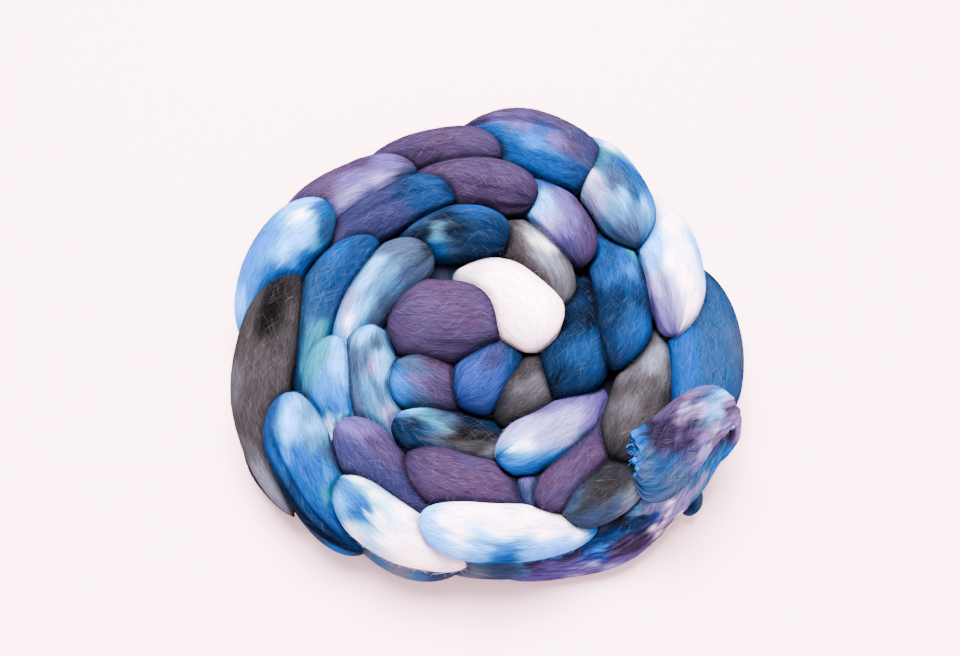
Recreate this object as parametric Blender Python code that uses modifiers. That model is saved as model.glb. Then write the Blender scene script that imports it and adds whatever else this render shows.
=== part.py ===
"""A coil of chained wool roving: one plump strand looped into a chain, the chain wound flat into a round.

Two pieces: the wound chain, and the loose end of the strand, which lies up the rim and folds back on top.
"""
import math

import bmesh
import bpy
from mathutils import Vector

MM = 0.001

# The wound form
COIL_MIDDLE = Vector((-15.3, -10.1)) * MM   # where the winding starts, from the middle of the whole thing
UPPER_LAYER = 35.5 * MM                    # height of the strand's axis where it shows on the face
LOWER_LAYER = 11.0 * MM                    # and where it lies on the table
LOWER_INSET = 3.0 * MM                     # the lower layer is drawn in under the upper one
PLUMPNESS = 1.04                           # how far the lobes swell against each other
FLATNESS = 0.88                            # thickness of a lobe over its width
TIP_WIDTH = 0.14                           # width of a lobe's tip over its full width
TUCKED = 0.08                              # share of a lobe hidden at either tip
RISE_SINK = 3.5 * MM                       # how far a lobe's first end lies below its middle
DIVE_SINK = 16.0 * MM                      # and its last end, which goes under the next lobe
LOWER_SINK = 0.4                           # share of that sinking that the lower layer mirrors
BOW = 0.75                                 # how closely a lobe follows the round of the winding
TIGHTEST_ROUND = 25.0 * MM
ROUND_SIDES = 14
LOBE_STATIONS = 13

# Where the strands are pressed together behind the lobes
CORE_RADIUS = 80.0 * MM
CORE_BOTTOM = 6.0 * MM
CORE_TOP = 31.0 * MM
PAD_RADIUS = 22.0 * MM                     # the flat spot in the middle of the underside
TABLE_WIDTH = 400.0 * MM
TABLE_DEPTH = 20.0 * MM

# Fineness of the fused solids
CHAIN_SKIN = 2.5 * MM
CHAIN_SHARE = 0.18                         # of the faces kept, most of them along the creases
TAIL_SKIN = 3.0 * MM
TAIL_SHARE = 0.4
CLEARANCE = 0.35 * MM                      # between the loose end and the chain it lies on
STEPS_PER_STATION = 4

# Each lobe of the face: where it comes up and where it dives again, as a bearing about the middle of the
# winding and a reach from it, with its full width and how much prouder it lies than its layer.
LOBE_COLUMNS = ("name", "rise_deg", "rise_mm", "dive_deg", "dive_mm", "wide_mm", "proud_mm")
OUTER_TURN = (
    ("outer_01", 307, 88, 340, 92, 24, -13),
    ("outer_02", 337, 106, 20, 110, 32, -2),
    ("outer_03", 1, 94, 41, 112, 26, 2),
    ("outer_04", 29, 92, 62, 115, 27, 3),
    ("outer_05", 50, 101, 85, 111, 31, 0),
    ("outer_06", 77, 94, 111, 99, 22, 0),
    ("outer_07", 102, 85, 148, 93, 25, -1),
    ("outer_08", 130, 83, 171, 87, 27, 1),
    ("outer_09", 157, 71, 220, 90, 27, 0),
    ("outer_10", 200, 72, 245, 93, 27, 1),
    ("outer_11", 235, 76, 272, 92, 25, 1),
    ("outer_12", 263, 80, 304, 95, 24, 4),
)
MIDDLE_TURN = (
    ("middle_01", 299, 86, 328, 93, 25, -1),
    ("middle_02", 322, 84, 4, 87, 26, 0),
    ("middle_03", 350, 68, 38, 86, 25, 1),
    ("middle_04", 33, 67, 70, 87, 22, 1),
    ("middle_05", 61, 75, 102, 83, 24, 2),
    ("middle_06", 89, 71, 143, 73, 22, 0),
    ("middle_07", 126, 57, 190, 64, 21, 0),
    ("middle_08", 181, 47, 230, 66, 21, 1),
    ("middle_09", 221, 56, 270, 75, 24, 0),
    ("middle_10", 252, 55, 296, 73, 24, 1),
    ("middle_11", 296, 82, 335, 72, 20, -2),
)
INNER_TURN = (
    ("inner_01", 329, 48, 29, 66, 27, -1),
    ("inner_02", 19, 48, 72, 63, 23, 0),
    ("inner_03", 62, 51, 114, 54, 24, 1),
    ("inner_04", 103, 42, 182, 45, 23, 0),
    ("inner_05", 172, 32, 246, 50, 23, 0),
    ("inner_06", 239, 42, 302, 47, 22, 0),
    ("inner_07", 291, 57, 340, 66, 25, 3),
)
HEART = (
    ("heart_01", 300, 39, 356, 41, 24, -1),
    ("heart_02", 352, 37, 90, 36, 30, 4),
    ("heart_03", 278, 28, 2, 24, 25, 2),
    ("heart_04", 208, 26, 280, 22, 27, 1),
    ("heart_05", 158, 26, 36, 28, 40, 5),
)

# The loose end: a flattened strand that leaves the chain low at the front, climbs the rim on edge, turns
# over on top of the outer turn and lies back towards the middle. Its outer edge points along edge_deg and
# hangs by drop_deg.
TAIL_COLUMNS = ("x_mm", "y_mm", "z_mm", "wide_mm", "thick_mm", "edge_deg", "drop_deg")
TAIL = (
    (17.5, -86, 13, 16, 9, -80, 52),
    (42.5, -85, 14, 22, 10, -72, 60),
    (64.5, -78, 20, 27, 11, -60, 66),
    (81.5, -67.5, 27, 30, 12, -50, 66),
    (93.5, -56, 34, 29, 12, -50, 54),
    (100.5, -46, 41, 26, 12, -58, 30),
    (103.5, -39, 47, 24, 12, -66, 8),
    (100.5, -40, 52.5, 29, 11, -68, 0),
    (92.5, -46, 54, 36, 11, -68, -2),
    (82.5, -51, 53, 38, 11, -66, -2),
    (73.5, -53, 49, 28, 8, -64, 0),
)


def polar(bearing_deg, reach):
    bearing = math.radians(bearing_deg)
    return Vector((math.cos(bearing), math.sin(bearing))) * reach


def rows(columns, table):
    return [dict(zip(columns, values)) for values in table]


def lobes():
    return [row for turn in (OUTER_TURN, MIDDLE_TURN, INNER_TURN, HEART) for row in rows(LOBE_COLUMNS, turn)]


def leaf(share):
    """Width of a lobe along its length, from tight tips to a plump middle."""
    return TIP_WIDTH + (1 - TIP_WIDTH) * math.sin(math.pi * share ** 0.92) ** 0.72


def sink(share):
    """How far a lobe lies below its height: it starts on top of the last one and dives under the next."""
    return RISE_SINK * (1 - share) ** 6 + DIVE_SINK * share ** 3.5


def lobe_stations(row, lower):
    """Points along a lobe's axis, each with the half width and half thickness there."""
    start = polar(row["rise_deg"], row["rise_mm"] * MM)
    end = polar(row["dive_deg"], row["dive_mm"] * MM)
    chord = end - start
    outward = Vector((chord.y, -chord.x)).normalized()
    reach = ((start + end) / 2).length
    bow = BOW * chord.length ** 2 / (8 * max(reach, TIGHTEST_ROUND))
    stations = []
    for i in range(LOBE_STATIONS):
        share = i / (LOBE_STATIONS - 1)
        along = -TUCKED + share * (1 + 2 * TUCKED)
        plan = COIL_MIDDLE + start + chord * along + outward * bow * 4 * along * (1 - along)
        lift = row["proud_mm"] * MM - sink(share)
        height = UPPER_LAYER + lift
        if lower:
            plan -= (plan - COIL_MIDDLE).normalized() * LOWER_INSET
            height = LOWER_LAYER - min(lift, 0) * LOWER_SINK
        half = row["wide_mm"] * MM / 2 * PLUMPNESS * leaf(share)
        stations.append((Vector((plan.x, plan.y, height)), half, half * FLATNESS))
    return stations


def upright_frames(stations):
    """For each station its sideways and upward directions, level across the strand."""
    frames = []
    for i in range(len(stations)):
        ahead = stations[min(i + 1, len(stations) - 1)][0] - stations[max(i - 1, 0)][0]
        side = Vector((ahead.y, -ahead.x, 0)).normalized()
        up = side.cross(ahead).normalized()
        frames.append((side, up if up.z > 0 else -up))
    return frames


def loft(bm, stations, frames):
    """A closed tube through oval sections, one at each station."""
    rings = []
    for (point, half_wide, half_thick), (side, up) in zip(stations, frames):
        turns = [2 * math.pi * j / ROUND_SIDES for j in range(ROUND_SIDES)]
        rings.append([
            bm.verts.new(point + side * half_wide * math.cos(turn) + up * half_thick * math.sin(turn))
            for turn in turns
        ])
    for near, far in zip(rings, rings[1:]):
        for j in range(ROUND_SIDES):
            k = (j + 1) % ROUND_SIDES
            bm.faces.new((near[j], near[k], far[k], far[j]))
    bm.faces.new(rings[0])
    bm.faces.new(rings[-1])


def add_core(bm):
    """The squeezed middle of the coil, and the pad under it that rests on the table."""
    for radius, bottom, top in ((CORE_RADIUS, CORE_BOTTOM, CORE_TOP), (PAD_RADIUS, -CORE_BOTTOM, CORE_TOP)):
        made = bmesh.ops.create_cone(
            bm, cap_ends=True, segments=48, radius1=radius, radius2=radius, depth=top - bottom)
        bmesh.ops.translate(bm, verts=made["verts"], vec=(0, 0, (top + bottom) / 2))


def object_from(name, bm, collection):
    bmesh.ops.recalc_face_normals(bm, faces=bm.faces)
    mesh = bpy.data.meshes.new(name)
    bm.to_mesh(mesh)
    bm.free()
    made = bpy.data.objects.new(name, mesh)
    collection.objects.link(made)
    return made


def evaluated(source, name):
    """A mesh of the object with its modifiers carried out."""
    graph = bpy.context.evaluated_depsgraph_get()
    mesh = bpy.data.meshes.new_from_object(source.evaluated_get(graph))
    mesh.name = name
    return mesh


def keep_largest_shell(mesh):
    """Drops the closed pockets that a fused form has inside."""
    bm = bmesh.new()
    bm.from_mesh(mesh)
    unseen = set(bm.verts)
    shells = []
    while unseen:
        shell = {unseen.pop()}
        edge_of_shell = list(shell)
        while edge_of_shell:
            vert = edge_of_shell.pop()
            for edge in vert.link_edges:
                other = edge.other_vert(vert)
                if other in unseen:
                    unseen.discard(other)
                    shell.add(other)
                    edge_of_shell.append(other)
        shells.append(shell)
    shells.sort(key=len)
    for shell in shells[:-1]:
        bmesh.ops.delete(bm, geom=list(shell), context="VERTS")
    bm.to_mesh(mesh)
    bm.free()


def fused(rough, name, voxel, kept_share):
    """The outer skin of overlapping shapes as one body."""
    remesh = rough.modifiers.new("fuse", "REMESH")
    remesh.mode = "VOXEL"
    remesh.voxel_size = voxel
    thin = rough.modifiers.new("thin out", "DECIMATE")
    thin.ratio = kept_share
    mesh = evaluated(rough, name)
    keep_largest_shell(mesh)
    bpy.data.objects.remove(rough, do_unlink=True)
    return mesh


def wool(name, colour, roughness):
    material = bpy.data.materials.new(name)
    material.use_nodes = True
    shader = material.node_tree.nodes["Principled BSDF"]
    shader.inputs["Base Color"].default_value = (*colour, 1.0)
    shader.inputs["Roughness"].default_value = roughness
    shader.inputs["Metallic"].default_value = 0.0
    return material


def make_cutter(name, mesh, cutters):
    cutter = bpy.data.objects.new(name, mesh)
    cutter.hide_render = True
    cutter.display_type = "WIRE"
    cutters.objects.link(cutter)
    return cutter


def make_table_cutter(cutters):
    """The table's place: what the soft coil would sink into it is pressed flat."""
    bm = bmesh.new()
    bmesh.ops.create_cube(bm, size=TABLE_WIDTH)
    bmesh.ops.scale(bm, verts=bm.verts, vec=(1, 1, TABLE_DEPTH / TABLE_WIDTH))
    bmesh.ops.translate(bm, verts=bm.verts, vec=(0, 0, -TABLE_DEPTH / 2))
    mesh = bpy.data.meshes.new("table_place")
    bm.to_mesh(mesh)
    bm.free()
    return make_cutter("table_place", mesh, cutters)


def cut(target, cutter):
    boolean = target.modifiers.new("cut by " + cutter.name, "BOOLEAN")
    boolean.operation = "DIFFERENCE"
    boolean.solver = "EXACT"
    boolean.object = cutter


def make_chain(parts, table):
    bm = bmesh.new()
    for row in lobes():
        for lower in (False, True):
            stations = lobe_stations(row, lower)
            loft(bm, stations, upright_frames(stations))
    add_core(bm)
    mesh = fused(object_from("chain_lobes", bm, parts), "chain", CHAIN_SKIN, CHAIN_SHARE)
    chain = bpy.data.objects.new("chain", mesh)
    parts.objects.link(chain)
    mesh.materials.clear()
    mesh.materials.append(wool("dyed wool", (0.16, 0.24, 0.42), 0.8))
    mesh.shade_smooth()
    cut(chain, table)
    return chain


def smooth_between(a, b, c, d, share):
    """Catmull-Rom value between b and c."""
    return 0.5 * (
        2 * b + (c - a) * share + (2 * a - 5 * b + 4 * c - d) * share ** 2
        + (3 * b - a - 3 * c + d) * share ** 3)


def tail_stations():
    """The tail's sections, smoothed, with the frame of each."""
    table = rows(TAIL_COLUMNS, TAIL)
    stations = []
    frames = []
    last = len(table) - 1
    for i in range(last * STEPS_PER_STATION + 1):
        whole = min(i // STEPS_PER_STATION, last - 1)
        share = i / STEPS_PER_STATION - whole
        near = [table[min(max(whole + k, 0), last)] for k in (-1, 0, 1, 2)]
        now = {key: smooth_between(*(row[key] for row in near), share) for key in TAIL_COLUMNS}
        point = COIL_MIDDLE.to_3d() + Vector((now["x_mm"], now["y_mm"], now["z_mm"])) * MM
        stations.append((point, now["wide_mm"] * MM / 2, now["thick_mm"] * MM / 2))
        edge, drop = math.radians(now["edge_deg"]), math.radians(now["drop_deg"])
        side = Vector((math.cos(edge) * math.cos(drop), math.sin(edge) * math.cos(drop), -math.sin(drop)))
        frames.append(side)
    squared = []
    for i, side in enumerate(frames):
        ahead = stations[min(i + 1, len(stations) - 1)][0] - stations[max(i - 1, 0)][0]
        up = side.cross(ahead).normalized()
        squared.append((ahead.cross(up).normalized(), up))
    return stations, squared


def make_tail(parts, table, clearance):
    bm = bmesh.new()
    loft(bm, *tail_stations())
    mesh = fused(object_from("tail_strip", bm, parts), "tail", TAIL_SKIN, TAIL_SHARE)
    tail = bpy.data.objects.new("tail", mesh)
    parts.objects.link(tail)
    mesh.materials.clear()
    mesh.materials.append(wool("dyed wool, loose end", (0.42, 0.38, 0.55), 0.85))
    mesh.shade_smooth()
    cut(tail, table)
    cut(tail, clearance)
    return tail


def main():
    for old in list(bpy.data.objects):
        bpy.data.objects.remove(old, do_unlink=True)
    parts = bpy.data.collections.new("coiled wool roving")
    cutters = bpy.data.collections.new("cutters")
    bpy.context.scene.collection.children.link(parts)
    bpy.context.scene.collection.children.link(cutters)
    table = make_table_cutter(cutters)
    chain = make_chain(parts, table)
    clearance = make_cutter("chain_clearance", evaluated(chain, "chain_clearance"), cutters)
    swell = clearance.modifiers.new("clearance", "DISPLACE")
    swell.strength = CLEARANCE
    swell.mid_level = 0.0
    make_tail(parts, table, clearance)


main()
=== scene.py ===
import math

import bpy
import numpy as np
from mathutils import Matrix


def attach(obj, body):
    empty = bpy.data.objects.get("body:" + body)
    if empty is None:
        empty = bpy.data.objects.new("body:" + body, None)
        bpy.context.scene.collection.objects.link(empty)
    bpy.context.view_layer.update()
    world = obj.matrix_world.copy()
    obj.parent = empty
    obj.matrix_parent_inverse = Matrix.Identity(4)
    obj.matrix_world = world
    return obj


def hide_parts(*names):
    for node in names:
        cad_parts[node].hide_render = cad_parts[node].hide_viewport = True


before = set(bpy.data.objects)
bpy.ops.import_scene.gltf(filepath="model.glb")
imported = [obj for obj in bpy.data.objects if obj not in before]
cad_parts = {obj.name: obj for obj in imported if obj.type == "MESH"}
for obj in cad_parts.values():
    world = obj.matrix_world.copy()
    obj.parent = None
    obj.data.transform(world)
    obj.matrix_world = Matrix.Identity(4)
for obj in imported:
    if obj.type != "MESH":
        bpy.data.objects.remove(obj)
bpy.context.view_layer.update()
mm = 0.001

# The dyes, as they look on screen under this studio's light: red, green and blue out of 255.
lightLevel = 10.3  # how strongly the studio lights a level surface
dyes = {
    "white": (250, 246, 248),
    "paleBlue": (204, 224, 246),
    "sky": (112, 180, 232),
    "azure": (40, 132, 198),
    "royal": (26, 104, 166),
    "navy": (18, 60, 108),
    "deepNavy": (9, 26, 56),
    "teal": (46, 118, 166),
    "aqua": (134, 190, 206),
    "slate": (96, 130, 164),
    "periwinkle": (84, 120, 190),
    "indigo": (82, 90, 146),
    "plum": (112, 96, 142),
    "deepPlum": (90, 72, 114),
    "darkPlum": (58, 44, 82),
    "mauve": (120, 94, 136),
    "lilac": (158, 148, 202),
    "paleLilac": (204, 198, 230),
    "rose": (178, 160, 190),
    "paleGrey": (182, 184, 198),
    "mist": (158, 182, 214),
    "grey": (136, 134, 144),
    "taupe": (98, 89, 94),
    "darkTaupe": (64, 58, 62),
    "charcoal": (66, 70, 78),
    "black": (24, 20, 22),
}

# How the strand is looped and wound.
winding = {
    "middleMm": (-15.3, -10.1),  # where the winding starts
    "upperLayerMm": 35.5,
    "lowerLayerMm": 11.0,
    "lowerInsetMm": 0.5,  # how far the lower layer draws in
    "flatness": 0.92,  # thickness of a lobe over its width
    "tipWidth": 0.04,
    "riseTuck": 0.03,  # share of a lobe's length beyond where it comes up
    "diveTuck": 0.13,  # and beyond where it dives
    "riseRound": 0.3,  # share of a lobe that rounds off where it comes up
    "riseCount": 0.36,  # and share of its cross sections that lie there
    "diveTaper": 3.0,  # how late it narrows towards its tip
    "diveFullness": 0.75,
    "riseLiftMm": 4.5,
    "diveSinkMm": 15.0,
    "lowerSink": 0.4,  # how much of that the lower layer mirrors
    "bow": 0.75,  # how closely a lobe follows the round of the winding
    "tightestRoundMm": 38.0,
}

# How fine the modelled lobes are, how lumpy the wool lies in them, and the painted shade and light of their
# creases, clefts and ridges.
relief = {
    "alongCount": 64,
    "aroundCount": 72,
    "lowerAlongCount": 40,
    "lowerAroundCount": 36,
    "topShare": 0.45,  # how much closer the points stand on the upper side
    "twist": 0.12,  # the most that the fibres turn round their strand
    # Broad swellings, soft bundles and fine strands: how high, how long, how wide and how deep each is.
    "unevennessMm": ((0.75, 22, 13, 17), (0.42, 60, 5.0, 6.5), (0.13, 30, 1.9, 2.3)),
    "calmReachMm": 3.0,  # the lumps die out this close to another lobe
    "tuckMm": 0.9,  # how far a lobe draws in where it meets another
    "tuckReachMm": 1.6,
    "creaseDark": 0.3,  # the narrow painted shade of a crease
    "creaseReachMm": 0.8,
    "hollowDark": 0.3,  # the wide, soft painted shade beside it
    "hollowReachMm": 4.5,
    "cleftDark": 0.5,  # the most that painted shade darkens a cleft
    "ridgeLight": 0.12,  # how much lighter a ridge is painted than a furrow, as painted light and shade
    "aboveTableMm": 0.3,  # nothing lies lower than this
}

# How the dyes run into one another in the wool.
dyeing = {
    "softMm": 2.6,
    "runMm": (1.2, 3.4),  # how far they run along the fibres, in each of two soakings
    "acrossGrip": 1.3,  # how much less far they run across them
    "edge": 1.9,  # how soon one dye gives way to the next
    "streakMm": (30, 1.6),  # how long and how wide the streaks are
    "driftMm": (9, 7),
    "drift": 0.5,  # share of the run that drifts in clouds
    "driftAcross": 0.4,  # and of that drift, the share that goes across the fibres
}

# How the view shows light, by which a dye's look is worked back to the colour of the wool itself.
viewCurve = {
    "middle": 0.22,  # the light that shows as a middle tone
    "steepness": 1.2,
    "highlights": 0.75,  # below 1, it holds back the brightest
    "brightFrom": 0.5,  # where strong colours start to soften
    "brightOver": 0.7,
    "redBack": 1.7,  # how much of the red in a blue is cut back
    "greenBack": 0.3,
}

lobeColumns = ("name", "riseDeg", "riseMm", "diveDeg", "diveMm", "wideMm", "proudMm", "dabs")

# Each dab of dye: its name, its place along the lobe from 0 to 1, and its place across,
# from -1 at the side nearest the middle of the coil to 1 at the outer side.
outerTurn = {
    "name": "outer_turn",
    "plumpness": 1.04,
    "seed": 100,
    "lobes": (
        ("outer_01", 307, 88, 340, 92, 24, -13, "slate .2 0 | charcoal .6 .3"),
        ("outer_02", 337, 106, 20, 110, 32, -2,
         "azure .1 0 | azure .25 -.5 | teal .25 .2 | azure .4 -.6 | teal .42 .1 | slate .45 .95"
         " | teal .55 -.2 | teal .6 .6 | azure .68 -.3 | teal .75 .2 | navy .8 .9 | slate .95 0"),
        ("outer_03", 1, 94, 41, 112, 26, 2,
         "lilac .02 -.3 | paleLilac .08 0 | white .12 .4 | lilac .14 -.85 | paleLilac .2 -.5"
         " | white .25 .2 | paleLilac .27 -.9 | white .35 -.2 | paleBlue .38 -.7 | white .4 .5"
         " | paleBlue .42 .9 | paleBlue .55 -.7 | white .55 .1 | paleBlue .6 -.5 | white .65 .5"
         " | white .75 -.1 | paleBlue .8 -.6 | white .9 0"),
        ("outer_04", 29, 92, 62, 115, 27, 3,
         "slate .02 0 | slate .08 -.5 | mist .1 .2 | paleBlue .17 .5 | mist .18 -.5 | sky .22 .7"
         " | teal .25 .3 | paleBlue .25 -.1 | paleLilac .3 -.7 | azure .36 .7 | teal .38 .3"
         " | slate .36 -.1 | paleLilac .42 -.6 | azure .46 .5 | teal .5 .1 | white .48 -.6"
         " | paleBlue .5 .9 | aqua .56 0 | teal .6 -.3 | mist .56 -.8 | white .62 .6"
         " | paleBlue .68 .7 | teal .7 0 | azure .72 -.5 | slate .85 0"),
        ("outer_05", 50, 101, 85, 111, 31, 0,
         "slate .03 0 | royal .08 -.6 | indigo .1 .3 | indigo .2 .5 | plum .22 0 | azure .22 -.7"
         " | lilac .3 -.1 | plum .35 .6 | azure .35 -.8 | sky .42 -.4 | periwinkle .4 .1 | plum .5 .6"
         " | azure .52 -.6 | lilac .52 0 | teal .6 -.8 | plum .65 .5 | azure .68 -.4 | lilac .68 .1"
         " | plum .8 .4 | navy .75 -.9 | indigo .9 0"),
        ("outer_06", 77, 94, 111, 99, 22, 0,
         "plum .2 0 | plum .5 .4 | mauve .4 .2 | deepPlum .5 -.7 | plum .7 0 | plum .95 0"),
        ("outer_07", 102, 85, 148, 93, 25, -1,
         "plum .05 0 | slate .02 -.5 | lilac .12 0 | lilac .14 .5 | plum .25 .5 | paleLilac .2 -.6"
         " | lilac .3 -.7 | paleLilac .33 -.6 | lilac .35 0 | mauve .38 .6 | paleLilac .42 -.8"
         " | plum .5 .5 | mauve .5 0 | lilac .52 -.6 | plum .62 0 | plum .75 0 | plum .9 0"),
        ("outer_08", 130, 83, 171, 87, 27, 1,
         "azure .06 -.2 | paleBlue .15 .4 | teal .15 -.9 | white .2 0 | paleBlue .25 -.5"
         " | paleBlue .33 -.5 | sky .42 .3 | azure .4 -.9 | paleBlue .44 -.3 | sky .5 .7 | sky .5 -.8"
         " | azure .55 -.5 | azure .64 -.5 | sky .66 .3 | paleBlue .77 .5 | sky .9 0"),
        ("outer_09", 157, 72, 220, 91, 25, 0,
         "darkTaupe .02 0 | darkTaupe .1 -.3 | black .13 .1 | black .2 .05 | taupe .18 -.8 | taupe .2 .8"
         " | black .26 -.1 | taupe .3 -.7 | taupe .32 .7 | taupe .38 .1 | taupe .45 -.4 | grey .48 .9"
         " | taupe .52 .2 | taupe .58 -.3 | taupe .65 .4 | grey .72 .8 | taupe .72 0"
         " | paleGrey .8 .8 | taupe .85 -.4 | paleGrey .9 .6"),
        ("outer_10", 202, 70, 243, 89.5, 26, 1,
         "sky .04 0 | paleBlue .1 -.2 | royal .13 .7 | mist .17 -.5 | paleBlue .2 .1 | royal .25 .95"
         " | paleBlue .26 -.6 | paleBlue .28 .2 | azure .3 .7 | sky .37 .5 | mist .36 -.4"
         " | royal .4 1 | azure .4 .1 | slate .45 -.8 | azure .47 -.2 | azure .5 .15 | azure .5 .5"
         " | navy .52 .95 | azure .56 .1 | sky .57 -.5 | azure .6 .5 | aqua .62 -.1 | navy .64 .95"
         " | slate .67 -.8 | azure .7 .2 | azure .72 -.4 | royal .73 .6 | navy .77 .9 | azure .82 0"
         " | royal .88 .3 | navy .9 .9 | royal .96 0"),
        ("outer_11", 235, 76, 270, 89.5, 23, 1,
         "slate .02 .2 | sky .06 .1 | white .12 -.5 | paleBlue .14 .6 | sky .17 .4 | azure .23 .2"
         " | azure .26 .45 | white .27 -.3 | white .3 .9 | white .36 .2 | white .45 -.4 | white .5 .5"
         " | white .65 0 | white .65 .8 | white .7 -.95 | white .8 0 | white .95 0"),
        ("outer_12", 263, 79.5, 304, 94.5, 22.5, 3.5,
         "paleBlue .04 0 | white .12 0 | paleBlue .08 .8 | white .2 -.3 | white .22 .4 | paleBlue .32 .7"
         " | white .35 -.4 | white .4 .2 | azure .45 1.05 | sky .44 .8 | white .48 0 | paleBlue .55 .95"
         " | white .58 -.4 | white .62 .3 | paleBlue .7 .9 | white .75 -.2 | white .8 .4"
         " | paleBlue .88 .2 | sky .96 -.2 | sky .97 .4"),
    ),
    "underDabs": (
        "plum 0 0 | deepPlum 1 0",
        "azure 0 0 | teal .5 .4 | azure 1 0",
        "paleBlue 0 0 | slate .5 0 | sky 1 0",
        "slate 0 0 | teal .5 .3 | slate 1 0",
        "indigo 0 0 | plum .5 0 | royal 1 0",
        "plum 0 0 | mauve .5 0 | plum 1 0",
        "plum 0 0 | lilac .4 0 | plum 1 0",
        "azure 0 0 | sky .5 0 | azure 1 0",
        "darkTaupe 0 0 | taupe .5 0 | darkTaupe 1 0",
        "royal 0 0 | navy .4 .3 | slate .7 1 | sky .9 1.2 | slate 1 .8",
        "mist 0 1 | paleBlue .15 1.2 | paleGrey .3 1 | mist .45 1.2 | paleGrey .6 .8 | mist .75 1.2"
        " | slate .85 1",
        "mist 0 1 | slate .15 .8 | paleGrey .3 1.2 | slate .45 1 | mist .6 1.2 | mauve .8 1 | lilac 1 1",
    ),
}
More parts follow.
